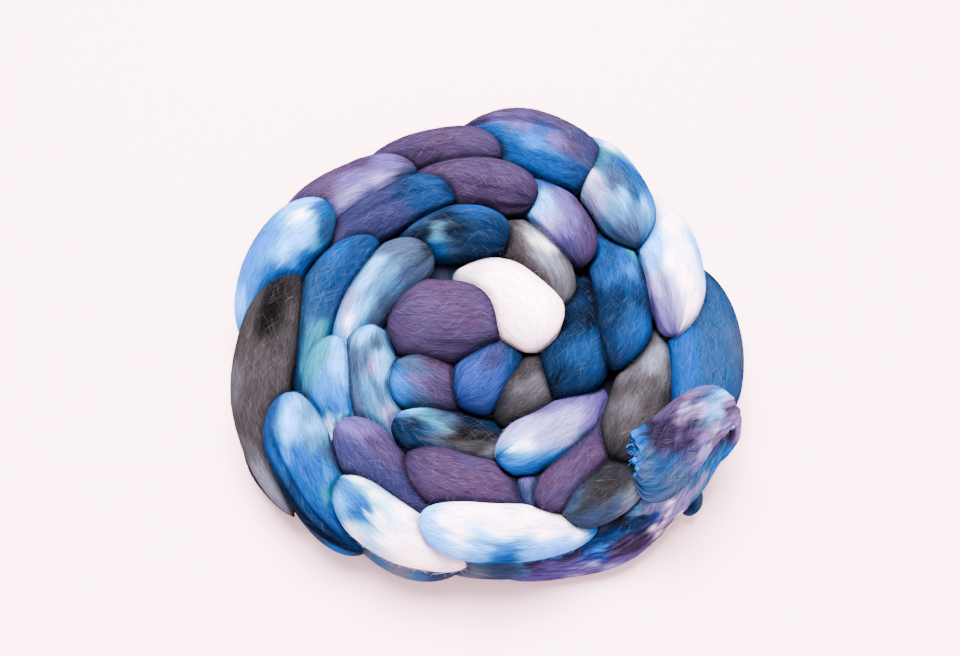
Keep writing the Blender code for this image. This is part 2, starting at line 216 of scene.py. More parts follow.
middleTurn = {
    "name": "middle_turn",
    "plumpness": 1.1,
    "seed": 200,
    "lobes": (
        ("middle_01", 301, 87, 328, 93, 22, -1,
         "slate .05 .2 | slate .12 -.2 | charcoal .15 .4 | slate .16 .8 | charcoal .25 -.4"
         " | darkTaupe .28 .2 | charcoal .35 -.6 | darkTaupe .4 .1 | slate .35 .85 | charcoal .48 -.3"
         " | paleGrey .45 .9 | charcoal .5 .3 | paleGrey .55 .8 | darkTaupe .6 -.4 | grey .62 .5"
         " | paleGrey .65 .8 | charcoal .75 -.2 | grey .8 .4 | charcoal .9 0"),
        # The pale grey dabs on middle_02 are painted highlight on the taupe wool.
        ("middle_02", 322, 84, 4, 87, 26, 0,
         "darkTaupe .04 0 | taupe .12 -.2 | taupe .2 .3 | grey .25 -.3 | taupe .33 .2 | taupe .38 -.6"
         " | darkTaupe .4 .8 | taupe .45 0 | paleGrey .5 0 | grey .48 -.7 | grey .55 .6"
         " | paleGrey .58 -.1 | taupe .62 -.7 | paleGrey .66 .2 | grey .75 0 | grey .85 -.3"
         " | taupe .95 0"),
        # The sky dab at .52 .3 on middle_03 is a painted highlight, a glint on the navy and royal wool.
        ("middle_03", 350, 68, 38, 86, 25, 1,
         "navy .04 0 | royal .12 .2 | navy .14 -.5 | azure .22 .6 | navy .25 -.3 | royal .28 .4"
         " | navy .32 -.7 | navy .36 .5 | navy .38 -.1 | royal .42 .1 | royal .45 .7 | azure .5 -.3"
         " | sky .52 .3 | navy .52 .85 | royal .58 -.5 | azure .6 .2 | aqua .66 .5 | royal .68 -.1"
         " | azure .75 -.5 | slate .8 .3 | teal .9 0"),
        ("middle_04", 33, 67, 70, 87, 22, 1,
         "plum .02 0 | plum .1 .4 | indigo .1 -.4 | lilac .2 -.3 | plum .22 .7 | lilac .28 .2"
         " | paleLilac .32 -.5 | plum .38 .8 | lilac .42 .3 | paleBlue .42 -.5 | lilac .5 .6"
         " | paleBlue .52 -.2 | periwinkle .58 .5 | paleBlue .62 -.4 | sky .75 0 | slate .85 0"),
        ("middle_05", 61, 75, 102, 83, 24, 2,
         "deepPlum .04 0 | deepPlum .12 -.4 | plum .15 .3 | plum .25 0 | deepPlum .3 -.6 | plum .38 .4"
         " | plum .45 -.2 | mauve .55 -.4 | plum .6 .5 | mauve .65 0 | lilac .72 .8 | plum .78 0"
         " | plum .92 0"),
        ("middle_06", 89, 71, 143, 73, 22, 0,
         "navy .02 0 | royal .12 .2 | royal .12 -.4 | royal .2 .4 | royal .25 -.1 | navy .27 .1"
         " | indigo .38 .3 | indigo .35 -.4 | indigo .5 0 | slate .45 .7 | indigo .6 .3 | indigo .62 -.5"
         " | plum .72 0 | indigo .75 .6 | plum .85 0 | plum .95 0"),
        ("middle_07", 126, 57, 190, 64, 21, 0,
         "royal .03 0 | royal .12 0 | azure .22 .3 | royal .25 -.5 | teal .36 .5 | royal .4 -.4"
         " | teal .5 .2 | teal .52 -.5 | aqua .6 -.5 | teal .62 .3 | aqua .7 -.6 | teal .75 .4"
         " | aqua .82 -.4 | teal .95 0"),
        ("middle_08", 181, 47, 230, 66, 21, 1,
         "paleBlue .05 0 | aqua .12 .3 | paleBlue .14 -.4 | aqua .22 .6 | paleBlue .24 -.3 | aqua .3 .8"
         " | sky .33 .1 | paleBlue .33 -.7 | slate .42 .95 | sky .42 .3 | sky .42 -.4 | azure .5 .4"
         " | azure .52 -.1 | sky .5 -.7 | white .58 .2 | white .62 -.4 | white .7 .2 | paleBlue .72 .8"
         " | white .8 0 | mist .92 0"),
        ("middle_09", 221, 56, 270, 75, 24, 0,
         "lilac .05 0 | lilac .15 -.2 | indigo .2 .4 | plum .28 -.4 | indigo .35 .3 | plum .42 -.6"
         " | indigo .5 .4 | indigo .5 0 | plum .6 -.6 | indigo .68 .5 | plum .75 -.2 | indigo .85 .3"
         " | plum .95 0"),
        ("middle_10", 252, 55, 296, 73, 24, 1,
         "deepPlum .03 0 | plum .12 .2 | mauve .25 -.2 | mauve .3 .5 | plum .38 -.6 | mauve .45 .2"
         " | plum .5 .8 | mauve .58 -.2 | mauve .6 .5 | plum .7 .2 | plum .72 -.5 | deepPlum .85 0"
         " | plum .95 0"),
        ("middle_11", 297, 81, 335, 71, 20, 1,
         "plum .05 0 | mauve .15 -.3 | plum .22 .4 | mauve .3 0 | plum .42 -.3 | mauve .48 .3"
         " | plum .6 0 | deepPlum .7 .3 | deepPlum .9 0"),
        ("middle_12", 298, 66, 295, 82, 10, 0, "lilac 0 0 | slate .3 0 | periwinkle .5 .3 | indigo .8 0"),
        ("middle_13", 295, 66, 310, 71, 11, -2, "plum .3 0 | mauve .6 .3 | plum .9 0"),
    ),
    "underDabs": (
        "plum 0 0 | deepPlum 1 0",
        "royal 0 0 | teal 1 0",
        "white 0 0 | paleBlue .6 0 | slate 1 0",
        "taupe 0 0 | darkTaupe 1 0",
    ),
}
innerTurn = {
    "name": "inner_turn",
    "plumpness": 1.11,
    "seed": 300,
    "lobes": (
        ("inner_01", 329, 48, 29, 66, 27, -1,
         "deepNavy .04 0 | navy .1 .2 | navy .14 -.4 | royal .22 0 | navy .22 -.6 | royal .3 .3"
         " | navy .32 -.4 | deepNavy .4 -.6 | royal .4 .5 | deepNavy .48 .1 | deepNavy .55 .6 | navy .6 -.3"
         " | deepNavy .7 0 | navy .85 0"),
        # The white dabs near the middle of inner_02 are a painted highlight, a sheen along the grey and
        # taupe wool.
        ("inner_02", 19, 48, 72, 63, 23, 0,
         "grey .03 0 | grey .12 .2 | taupe .15 -.5 | paleGrey .22 .3 | taupe .28 -.6 | grey .26 .8"
         " | paleGrey .32 -.1 | white .38 .4 | taupe .42 -.6 | white .46 .2 | grey .42 .9"
         " | paleGrey .52 .3 | taupe .55 -.4 | grey .6 .6 | taupe .68 .1 | taupe .8 0 | darkTaupe .95 0"),
        ("inner_03", 62, 51, 114, 54, 24, 1,
         "navy .1 0 | navy .2 -.6 | azure .3 .7 | royal .33 .5 | deepNavy .38 -.3 | deepNavy .45 .2"
         " | aqua .5 -.1 | azure .52 -.7 | aqua .49 -.5 | deepNavy .58 -.2 | royal .6 .6 | sky .68 .5"
         " | deepNavy .68 -.3 | navy .78 .3 | deepNavy .85 0 | black .97 0"),
        ("inner_04", 103, 42, 182, 45, 23, 0,
         "charcoal .03 0 | slate .1 0 | slate .2 .5 | slate .22 -.5 | mist .3 -.3 | paleBlue .32 .3"
         " | slate .3 .9 | paleBlue .42 .1 | slate .45 -.8 | mist .4 -.4 | slate .47 .9"
         " | paleLilac .55 .4 | paleBlue .55 -.2 | slate .58 -.9 | white .66 0 | paleBlue .66 .7"
         " | sky .72 -.6 | paleBlue .8 0 | sky .85 .5 | white .93 0"),
        ("inner_05", 172, 32, 246, 50, 23, 0,
         "paleBlue .04 0 | paleBlue .12 .3 | slate .15 -.3 | slate .22 .85 | paleBlue .22 -.4"
         " | slate .28 .3 | paleLilac .3 -.2 | paleBlue .36 -.5 | slate .42 .7 | mist .42 .1"
         " | slate .44 -.7 | mist .52 .1 | paleBlue .5 -.8 | slate .55 .6 | paleLilac .6 -.3"
         " | paleBlue .64 .6 | paleLilac .7 -.3 | mist .72 .2 | paleBlue .8 0 | slate .88 .3"
         " | slate .97 0"),
        ("inner_06", 239, 42, 302, 47, 22, 0,
         "sky .02 -.3 | navy .08 .4 | paleBlue .1 -.6 | deepNavy .15 .1 | aqua .2 -.3 | navy .22 .5"
         " | teal .25 .1 | aqua .3 -.1 | royal .32 .7 | paleGrey .34 .4 | azure .38 .85 | slate .37 -.5"
         " | deepNavy .45 -.7 | black .46 0 | taupe .42 .3 | grey .48 .5 | deepNavy .55 -.5"
         " | taupe .58 .5 | darkTaupe .6 .1 | paleGrey .64 .6 | navy .68 -.5 | taupe .75 .4"
         " | navy .8 -.4 | slate .87 0 | darkTaupe .95 0"),
        ("inner_07", 291, 56.5, 340, 65, 23, 3,
         "azure .02 .2 | sky .06 .6 | white .1 .1 | paleLilac .12 -.7 | azure .14 .95 | white .18 .2"
         " | azure .21 .98 | paleLilac .25 -.6 | paleLilac .28 .3 | sky .32 .98 | paleLilac .36 -.2"
         " | paleLilac .4 .6 | lilac .42 -.8 | slate .45 1 | paleLilac .5 .1 | lilac .6 -.5"
         " | lilac .62 .5 | lilac .72 0 | lilac .82 .3 | lilac .95 0"),
    ),
    "underDabs": (
        "navy 0 0 | royal 1 0",
        "paleGrey 0 0 | slate 1 0",
        "lilac 0 0 | plum 1 0",
    ),
}
heart = {
    "name": "heart",
    "plumpness": 1.1,
    "seed": 400,
    "lobes": (
        ("heart_01", 300, 39, 356, 41, 24, -1,
         "charcoal .05 0 | taupe .15 .2 | grey .25 0 | taupe .35 -.3 | grey .4 .3 | taupe .5 -.2"
         " | darkTaupe .65 .2 | taupe .85 0"),
        # The pale grey at the tip of heart_02 is painted shade where it dives under the next lobe.
        ("heart_02", 352, 37, 78, 35, 29, 4,
         "white .05 0 | white .5 0 | white .85 0 | paleGrey .97 0"),
        ("heart_03", 278, 28, 2, 24, 25, 2,
         "periwinkle .08 0 | periwinkle .25 -.3 | periwinkle .3 .4 | indigo .4 0 | royal .5 .5"
         " | periwinkle .5 -.5 | indigo .62 -.2 | navy .65 .4 | royal .8 0 | navy .95 0"),
        ("heart_04", 208, 26, 280, 22, 27, 1,
         "azure .03 .3 | slate .08 -.3 | sky .12 .5 | slate .2 0 | sky .22 .8 | lilac .28 .3"
         " | mauve .32 -.4 | plum .38 .1 | slate .36 .8 | mauve .48 -.4 | plum .5 .3 | plum .55 .8"
         " | mauve .62 -.2 | plum .7 .4 | deepPlum .9 0"),
        ("heart_05", 160, 25, 34, 26, 36, 5,
         "plum .1 0 | plum .3 .4 | mauve .45 .2 | plum .6 0 | mauve .4 -.6 | plum .75 .4"
         " | deepPlum .85 -.6 | plum .9 0 | indigo .8 .7"),
    ),
    "underDabs": (
        "plum 0 0 | mauve 1 0",
        "sky 0 0 | azure 1 0",
        "paleLilac 0 0 | white 1 0",
    ),
}

# Clefts where a lobe's fibres part: along and across at either end, depth and width in millimetres.
clefts = {
    "outer_05": ((0.3, 0.35, 1.0, -0.1, 2.2, 1.6),),
    "outer_03": ((0.0, -0.2, 0.5, -0.8, 0.9, 1.4),),
    "outer_04": ((0.35, 0.6, 0.95, 0.35, 0.7, 1.2), (0.2, -0.1, 0.6, -0.45, 0.5, 1.2)),
    "outer_10": ((0.15, 0.75, 1.0, 0.55, 1.5, 1.2), (0.3, 0.98, 1.0, 0.85, 1.3, 1.0)),
    "outer_12": ((0.0, 0.3, 0.5, 0.75, 0.6, 1.2),),
    "inner_05": ((0.1, 0.1, 0.7, -0.35, 1.5, 1.3), (0.0, 0.5, 0.6, 0.35, 0.7, 1.0)),
    "inner_04": ((0.1, 0.1, 0.7, -0.3, 0.6, 1.2),),
    "inner_06": ((0.15, 0.5, 0.8, 0.0, 0.9, 1.2),),
    "middle_06": ((0.1, -0.2, 0.7, -0.1, 0.6, 1.4),),
    "heart_05": ((0.2, 0.7, 0.8, 0.85, 0.5, 1.5),),
}


def toLight(byteColour):
    # The wool's own colour that looks like this once it is lit and shown. The view softens strong
    # colours, the bright ones most, so their weaker parts are cut back here.
    screen = np.clip(np.array(byteColour, float) / 255, 0.01, 0.985)
    lit = viewCurve["middle"] * (screen / (1 - screen)) ** viewCurve["steepness"]
    lit = np.where(lit > 1, lit ** viewCurve["highlights"], lit)
    red, green, blue = lit[..., 0], lit[..., 1], lit[..., 2]
    bright = np.clip((lit.max(axis=-1) - viewCurve["brightFrom"]) / viewCurve["brightOver"], 0, 1)
    red = red * np.minimum(red / green, 1) ** (viewCurve["redBack"] * bright)
    bluish = np.clip(1 - green / blue, 0, 1) * np.clip(1.2 - green, 0, 1)
    green = green * (1 - viewCurve["greenBack"] * bluish)
    return np.clip(np.stack((red, green, blue), axis=-1) / lightLevel, 0.0005, 0.9)


def readRows(table):
    return [dict(zip(lobeColumns, row)) for row in table]


def readDabs(text):
    dabs = [dab.split() for dab in text.split("|")]
    return [(np.array(dyes[name], float), float(along), float(across)) for name, along, across in dabs]


def ripples(seed, x, y, waves=14):
    # Soft, repeatable unevenness between about -1 and 1, with features about one unit across.
    rng = np.random.default_rng(seed)
    total = np.zeros(np.broadcast(x, y).shape)
    for _ in range(waves):
        turn = rng.uniform(0, 2 * math.pi)
        pace = rng.uniform(1.2, 4.0)
        start = rng.uniform(0, 2 * math.pi)
        total = total + np.sin(pace * (math.cos(turn) * x + math.sin(turn) * y) + start)
    return total / math.sqrt(waves * 2)


def unit(vectors):
    return vectors / np.maximum(np.linalg.norm(vectors, axis=-1, keepdims=True), 1e-12)


def gridNormals(points):
    # Outward directions of a grid that is open along its first side and closed round its second.
    alongWay = np.gradient(points, axis=0)
    aroundWay = np.roll(points, -1, axis=1) - np.roll(points, 1, axis=1)
    return unit(np.cross(alongWay, aroundWay))


def lobeShares(count):
    # Closer together where the lobe rounds off.
    first = round(count * winding["riseCount"])
    rounding = winding["riseRound"] * (1 - np.cos(np.linspace(0.03, 0.5 * np.pi, first)))
    rest = np.linspace(winding["riseRound"], 1, count - first + 1)[1:]
    return np.concatenate((rounding, rest))


def leaf(share):
    # Round where the lobe comes up, pointed where it dives.
    up = np.clip(1 - share / winding["riseRound"], 0, 1)
    down = np.clip((share - winding["riseRound"]) / (1 - winding["riseRound"]), 0, 1)
    width = np.sqrt(1 - up ** 2) * (1 - down ** winding["diveTaper"]) ** winding["diveFullness"]
    return np.maximum(width, winding["tipWidth"])


def axisOfLobe(lobe, lower, count, plumpness):
    # The lobe's middle line with its half width, as arrays.
    def polar(degrees, reach):
        return np.array((math.cos(math.radians(degrees)), math.sin(math.radians(degrees)))) * reach * mm

    middle = np.array(winding["middleMm"]) * mm
    start = polar(lobe["riseDeg"], lobe["riseMm"])
    chord = polar(lobe["diveDeg"], lobe["diveMm"]) - start
    outward = np.array((chord[1], -chord[0])) / np.linalg.norm(chord)
    reach = max(np.linalg.norm(start + chord / 2), winding["tightestRoundMm"] * mm)
    bow = winding["bow"] * chord.dot(chord) / (8 * reach)
    share = lobeShares(count)
    along = share * (1 + winding["riseTuck"] + winding["diveTuck"]) - winding["riseTuck"]
    plan = middle + start + np.outer(along, chord) + np.outer(bow * 4 * along * (1 - along), outward)
    sink = winding["diveSinkMm"] * share ** 3.0 - winding["riseLiftMm"] * (1 - share) ** 2
    lift = (lobe["proudMm"] - sink) * mm
    height = winding["upperLayerMm"] * mm + lift
    if lower:
        plan = plan - unit(plan - middle) * winding["lowerInsetMm"] * mm
        height = winding["lowerLayerMm"] * mm - np.minimum(lift, 0) * winding["lowerSink"]
    half = lobe["wideMm"] * mm / 2 * plumpness * leaf(share)
    return np.column_stack((plan, height)), half, share


def cleftDepth(name, share, across, half):
    depth = np.zeros(across.shape)
    for alongStart, acrossStart, alongEnd, acrossEnd, deepMm, wideMm in clefts.get(name, ()):
        part = (share - alongStart) / (alongEnd - alongStart)
        line = acrossStart + (acrossEnd - acrossStart) * part
        fade = np.clip(4 * part, 0, 1) * np.clip(4 * (1 - part), 0, 1)
        apart = (across - line) * half / (wideMm * mm)
        depth = depth + deepMm * mm * fade * np.exp(-apart ** 2)
    return depth


def soak(dabs, alongMm, acrossMm, lengthMm, halfMm, softMm):
    # The dye's look at each place: the nearest dabs count most.
    weightSum = 0
    colourSum = 0
    for colour, along, across in dabs:
        gap = (alongMm - along * lengthMm) ** 2 + ((acrossMm - across * halfMm) * dyeing["acrossGrip"]) ** 2
        weight = 1 / (gap + softMm ** 2) ** dyeing["edge"]
        weightSum = weightSum + weight
        colourSum = colourSum + weight[..., None] * colour
    return colourSum / weightSum[..., None]


def skinOf(points, sides, ups, half, thick, share, seed, name, count):
    # A closed strand's surface as a grid, with all that the wool finish needs to know of each point.
    even = np.arange(count) / count * 2 * math.pi - math.pi / 2
    turn = even + relief["topShare"] * np.cos(even)
    across = np.where(np.sin(turn) >= 0, np.cos(turn), np.sign(np.cos(turn)) * (2 - np.abs(np.cos(turn))))
    across = np.broadcast_to(across, (len(points), count))
    shareGrid = np.broadcast_to(share[:, None], across.shape)
    steps = np.linalg.norm(np.diff(points, axis=0), axis=1)
    alongMm = np.concatenate(((0,), np.cumsum(steps))) / mm
    lengthMm = alongMm[-1]
    widest = half.max() / mm
    alongGrid = np.broadcast_to(alongMm[:, None], across.shape)
    aroundGrid = np.broadcast_to(turn * widest, across.shape)
    body = (
        points[:, None, :]
        + sides[:, None, :] * (half[:, None] * np.cos(turn))[..., None]
        + ups[:, None, :] * (thick[:, None] * np.sin(turn))[..., None]
    )
    normals = gridNormals(body)
    twist = np.random.default_rng(seed).uniform(-relief["twist"], relief["twist"])
    strandAcross = aroundGrid + twist * alongGrid
    x, y = np.cos(turn) * widest, np.sin(turn) * widest  # round the seam without a step
    x, y = np.broadcast_to(x, across.shape) + twist * alongGrid, np.broadcast_to(y, across.shape)
    calm = np.clip(half / half.max() * 1.4, 0, 1)[:, None]
    lumps = sum(high * ripples(seed + number, alongGrid / long, x / wide + y / deep)
                for number, (high, long, wide, deep) in enumerate(relief["unevennessMm"]))
    return {
        "body": body,
        "bodyNormals": normals,
        "lumps": lumps * mm * calm,
        "cleft": cleftDepth(name, shareGrid, across, half[:, None]),
        "share": shareGrid,
        "across": across,
        "alongMm": alongGrid,
        "aroundMm": strandAcross,
        "lengthMm": lengthMm,
        "widestMm": widest,
        "seed": seed,
        "axis": points,
        "sides": sides,
        "ups": ups,
        "half": half,
        "thick": thick,
    }


def gapBetween(points, other):
    # How far each point lies outside another strand, in millimetres.
    axis = other["axis"]
    count = len(axis)
    nearest = np.argmin(((points[:, None, :] - axis[None]) ** 2).sum(axis=-1), axis=1)
    ahead = np.gradient(axis, axis=0)
    step = np.linalg.norm(ahead, axis=1)
    offset = ((points - axis[nearest]) * ahead[nearest]).sum(axis=-1) / step[nearest] ** 2
    place = np.clip(nearest + np.clip(offset, -0.5, 0.5), 0, count - 1)

    def between(values):
        low = np.minimum(place.astype(int), count - 2)
        part = (place - low).reshape((-1,) + (1,) * (values.ndim - 1))
        return values[low] * (1 - part) + values[low + 1] * part

    away = points - between(axis)
    sideways = (away * between(other["sides"])).sum(axis=-1)
    upwards = (away * between(other["ups"])).sum(axis=-1)
    endways = np.sqrt(np.maximum((away ** 2).sum(axis=-1) - sideways ** 2 - upwards ** 2, 0))
    half = np.maximum(between(other["half"]), 1 * mm)
    thick = np.maximum(between(other["thick"]), 1 * mm)
    ratio = np.sqrt((sideways / half) ** 2 + (upwards / thick) ** 2) + 1e-9
    outside = np.maximum(1 - 1 / ratio, 0) * np.hypot(sideways, upwards)
    return np.hypot(outside, endways) / mm


def nearestGap(skin, others):
    # How far each point of a strand lies from the nearest of the others, in millimetres.
    points = skin["body"].reshape(-1, 3)
    low, high = points.min(axis=0) - 8 * mm, points.max(axis=0) + 8 * mm
    gap = np.full(len(points), 99.0)
    for other in others:
        otherPoints = other["body"].reshape(-1, 3)
        outOfReach = np.any(otherPoints.max(axis=0) < low) or np.any(otherPoints.min(axis=0) > high)
        if other is not skin and not outOfReach:
            gap = np.minimum(gap, gapBetween(points, other))
    return np.maximum(gap.reshape(skin["across"].shape), 0)


def nestle(skin, others, tuckMm):
    # The final surface: lumpy where it is free, calm and drawn in where it meets another strand,
    # which leaves a deep crease between them. Its colour gets painted shade there and in clefts, and painted
    # light on ridges.
    gap = nearestGap(skin, others)
    calm = np.clip(gap / relief["calmReachMm"], 0, 1)
    drawn = tuckMm * mm * np.exp(-gap / relief["tuckReachMm"])
    height = skin["lumps"] * calm * calm * (3 - 2 * calm) - skin["cleft"] - drawn
    skin["gap"] = gap
    skin["points"] = skin["body"] + skin["bodyNormals"] * height[..., None]
    skin["points"][..., 2] = np.maximum(skin["points"][..., 2], relief["aboveTableMm"] * mm)
    skin["normals"] = gridNormals(skin["points"])
    # Painted shade: darker close to another strand, in the crease and in the hollow beside it.
    creaseShade = relief["creaseDark"] * np.exp(-gap / relief["creaseReachMm"])
    creaseShade = creaseShade + relief["hollowDark"] * np.exp(-gap / relief["hollowReachMm"])
    # Painted shade in the clefts, and painted light on the ridges with painted shade in the furrows.
    cleftShade = np.clip(skin["cleft"] / (2 * mm), 0, relief["cleftDark"])
    ridgeShading = 1 + relief["ridgeLight"] * np.clip(skin["lumps"] / mm, -1, 1)
    skin["crease"] = (1 - creaseShade) * (1 - cleftShade) * ridgeShading
    return skin


def dyeSkin(skin, dabs, softMm=dyeing["softMm"], runMm=dyeing["runMm"]):
    # Two soakings of the same dabs: fibre by fibre the finish picks one or the other, so dye edges streak.
    seed = skin["seed"]
    along, around = skin["alongMm"], skin["aroundMm"]
    acrossMm = skin["across"] * skin["widestMm"]
    (streakLong, streakWide), (driftLong, driftWide) = dyeing["streakMm"], dyeing["driftMm"]
    for key, offset, reach in (("dyeAndShadeNear", 11, runMm[0]), ("dyeAndShadeFar", 23, runMm[1])):
        streak = ripples(seed + offset, along / streakLong, around / streakWide) * reach
        drift = ripples(seed + offset + 1, along / driftLong, around / driftWide) * reach * dyeing["drift"]
        wetAcross = acrossMm + drift * dyeing["driftAcross"]
        wet = soak(dabs, along + streak + drift, wetAcross, skin["lengthMm"], skin["widestMm"], softMm)
        skin[key] = toLight(wet)
    return skin


def levelFrames(points):
    ahead = np.gradient(points, axis=0)
    sides = unit(np.column_stack((ahead[:, 1], -ahead[:, 0], np.zeros(len(points)))))
    ups = unit(np.cross(sides, ahead))
    return sides, ups * np.where(ups[:, 2:] < 0, -1, 1)


def makeLobes(turn, lower):
    skins = []
    lobes = readRows(turn["lobes"])
    for number, lobe in enumerate(lobes):
        count = relief["lowerAlongCount"] if lower else relief["alongCount"]
        points, half, share = axisOfLobe(lobe, lower, count, turn["plumpness"])
        sides, ups = levelFrames(points)
        seed = turn["seed"] + number + (1000 if lower else 0)
        name = "" if lower else lobe["name"]
        around = relief["lowerAroundCount"] if lower else relief["aroundCount"]
        skin = skinOf(points, sides, ups, half, half * winding["flatness"], share, seed * 7, name, around)
        dabs = turn["underDabs"][number % len(turn["underDabs"])] if lower else lobe["dabs"]
        skins.append(dyeSkin(skin, readDabs(dabs)))
    return skins


def storeColours(mesh, key, colours):
    colours = np.column_stack((colours, np.ones(len(colours)))).astype(np.float32)
    mesh.attributes.new(key, "FLOAT_COLOR", "POINT").data.foreach_set("color", colours.ravel())


def pieceOf(name, mesh):
    mesh.shade_smooth()
    piece = bpy.data.objects.new(name, mesh)
    bpy.context.scene.collection.objects.link(piece)
    return piece


def gridFaces(rows, columns, first):
    # The quads of a grid that closes round its second side, then the two fans that close its ends.
    down, over = np.meshgrid(np.arange(rows - 1), np.arange(columns), indexing="ij")
    here, below = down * columns, (down + 1) * columns
    nextOver = (over + 1) % columns
    quads = np.stack((here + over, here + nextOver, below + nextOver, below + over), axis=-1).reshape(-1, 4)
    over = np.arange(columns)
    nextOver = (over + 1) % columns
    lastRow = (rows - 1) * columns
    head = np.column_stack((np.full(columns, rows * columns), nextOver, over))
    tail = np.column_stack((np.full(columns, rows * columns + 1), lastRow + over, lastRow + nextOver))
    return [face for part in (quads, head, tail) for face in (part[:, ::-1] + first).tolist()]


def gridMap(rows, columns, number, cell):
    # Where the same faces lie on the flat map, each strand in a cell of its own.
    down, over = np.meshgrid(np.arange(rows - 1), np.arange(columns), indexing="ij")
    corners = [((down + a) / (rows - 1), (over + b) / columns) for a, b in ((1, 0), (1, 1), (0, 1), (0, 0))]
    quads = np.stack([np.stack(corner, axis=-1) for corner in corners], axis=-2).reshape(-1, 2)
    over = np.arange(columns)
    outer = np.tile((0.0, 0.0, 0.001), (columns, 1))
    inner = np.column_stack((over / columns, (over + 1) / columns, (over + 0.5) / columns))
    fan = np.stack((outer, inner), axis=-1).reshape(-1, 2)
    across = round(1 / cell)
    corner = np.array((number % across, number // across)) * cell
    return corner + cell * (0.02 + 0.96 * np.concatenate((quads, fan, fan)))


def withEnds(values, ends=None):
    # One value for each point of a grid, then those of the points that close its two ends.
    flat = values.reshape(-1, 3)
    return np.concatenate((flat, flat[:1], flat[-1:])) if ends is None else np.concatenate((flat, ends))


def meshFromSkins(name, skins):
    # All of a turn's lobes in one mesh, each closed at both ends by a point.
    points, faces, near, far, place, maps = [], [], [], [], [], []
    cell = 1 / math.ceil(math.sqrt(len(skins)))
    first = 0
    for number, skin in enumerate(skins):
        rows, columns = skin["across"].shape
        points.append(withEnds(skin["points"], [skin["points"][end].mean(axis=0) for end in (0, -1)]))
        faces += gridFaces(rows, columns, first)
        # The dyes with the painted shade and light of creases, clefts and ridges laid over them.
        near.append(withEnds(skin["dyeAndShadeNear"] * skin["crease"][..., None]))
        far.append(withEnds(skin["dyeAndShadeFar"] * skin["crease"][..., None]))
        ownNoise = np.full(skin["across"].shape, skin["seed"] * 3.7)  # so that no two strands streak alike
        place.append(withEnds(np.stack((skin["alongMm"], skin["aroundMm"], ownNoise), axis=-1)))
        maps.append(gridMap(rows, columns, number, cell))
        first += rows * columns + 2
    mesh = bpy.data.meshes.new(name)
    mesh.from_pydata(np.concatenate(points).tolist(), [], faces)
    storeColours(mesh, "dyeAndShadeNear", np.concatenate(near))
    storeColours(mesh, "dyeAndShadeFar", np.concatenate(far))
    spot = mesh.attributes.new("strandPlace", "FLOAT_VECTOR", "POINT")
    spot.data.foreach_set("vector", np.concatenate(place).astype(np.float32).ravel())
    layer = mesh.uv_layers.new(name="OFBake")
    layer.data.foreach_set("uv", np.concatenate(maps).astype(np.float32).ravel())
    return pieceOf(name, mesh)


# The wool finish: combed fibres that lie along the strand. Each kind of streak has its pace along the
# strand, its pace round it and its detail.
finish = {
    "roughness": 0.85,
    "specular": 0.0,
    "bumpMm": 0.4,
    "bumpStrength": 0.8,
    "wander": (0.09, 0.16, 2),
    "wanderMm": 4.0,  # how far the fibres wander sideways
    "fine": (0.1, 1.5, 3),
    "bundles": (0.05, 0.5, 2),
    "hairs": (0.25, 3.4, 3),
    "strays": (0.12, 3.0, 2),
    "streakContrast": 3.0,
    "toneRange": (0.38, 0.62),  # the noise that spans from a dark fibre to a light one
    "darkFibre": 0.6,
    "lightFibre": 1.4,
    "strayRange": (0.59, 0.76),  # and from no stray fibre to a full one
    "frizzHighlight": 0.55,  # how bright the fine fibres lie that cross the strand: real stray fibres, painted paler as highlights
    "frizzColour": (0.5, 0.5, 0.55, 1),
    "frizzPaler": 0.06,
}


def plainFinish(name):
    # A dull material, with its nodes, links and shader to build on.
    material = bpy.data.materials.new(name)
    material.use_nodes = True
    nodes, links = material.node_tree.nodes, material.node_tree.links
    shader = nodes["Principled BSDF"]
    shader.inputs["Roughness"].default_value = finish["roughness"]
    shader.inputs["Specular IOR Level"].default_value = finish["specular"]
    return material, nodes, links, shader


